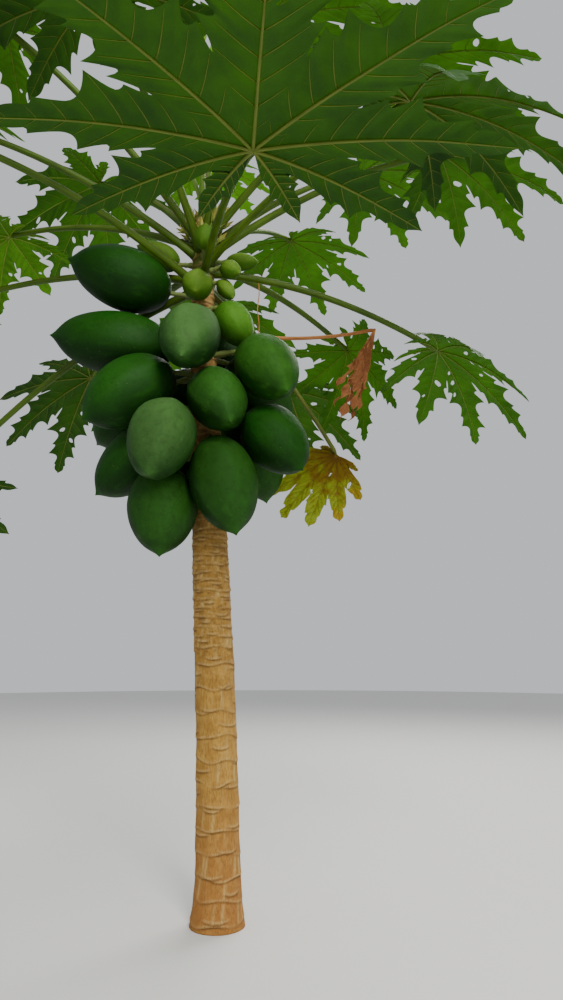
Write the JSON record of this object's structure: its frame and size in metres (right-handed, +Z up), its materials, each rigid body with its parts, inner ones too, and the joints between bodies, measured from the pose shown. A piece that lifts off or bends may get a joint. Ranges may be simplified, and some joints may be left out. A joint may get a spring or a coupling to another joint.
{
  "type": "papaya tree",
  "caption": "Young fruit tree with one unbranched ringed trunk, a tight cluster of green fruit under the crown and large palmate leaves on long round stalks.",
  "frame": {"origin": "middle of the flat cut under the trunk, at ground level", "axes": "+Z up the trunk; -Y is the side that the picture sees, with +X to its right"},
  "size_m": [1.6713, 1.959, 1.955],
  "materials": {
    "bark": "matt tan bark with ring scars",
    "leaf": "satin green leaf and stalk",
    "leaf_yellow": "limp yellow and brown leaf",
    "leaf_dry": "dry brown stalk",
    "young_leaf": "tender light green leaf and bud",
    "fruit": "waxy dark green skin",
    "young_fruit": "waxy yellow-green skin"
  },
  "bodies": {
    "root": {"trunk": "bark", "growing_tip": "young_leaf", "leaf_01_yellow": "leaf_yellow", "leaf_02": "leaf", "leaf_03": "leaf", "leaf_04": "leaf", "leaf_05": "leaf", "leaf_06": "leaf", "leaf_07": "leaf", "leaf_08": "leaf", "leaf_09": "leaf", "leaf_10": "leaf", "leaf_11": "leaf", "leaf_12": "leaf", "leaf_13": "leaf", "leaf_14": "leaf", "leaf_15": "leaf", "leaf_16": "leaf", "leaf_17": "leaf", "leaf_18": "leaf", "leaf_19": "leaf", "leaf_20": "leaf", "leaf_21": "leaf", "leaf_22": "leaf", "dead_leaf": "leaf_dry", "fruit_01": "fruit", "fruit_02": "fruit", "fruit_03": "fruit", "fruit_04": "fruit", "fruit_05": "fruit", "fruit_06": "fruit", "fruit_07": "fruit", "fruit_08": "fruit", "fruit_09": "fruit", "fruit_10": "fruit", "fruit_11": "fruit", "fruit_12": "fruit", "fruit_13": "fruit", "fruit_14": "fruit", "fruit_15": "fruit", "fruit_16": "fruit", "fruit_17": "fruit", "fruit_18": "fruit", "fruit_19": "fruit", "fruit_20": "fruit", "young_fruit_1": "young_fruit", "young_fruit_2": "young_fruit", "young_fruit_3": "young_fruit", "young_fruit_4": "young_fruit", "young_fruit_5": "young_fruit", "young_fruit_6": "young_fruit"}
  },
  "joints": []
}
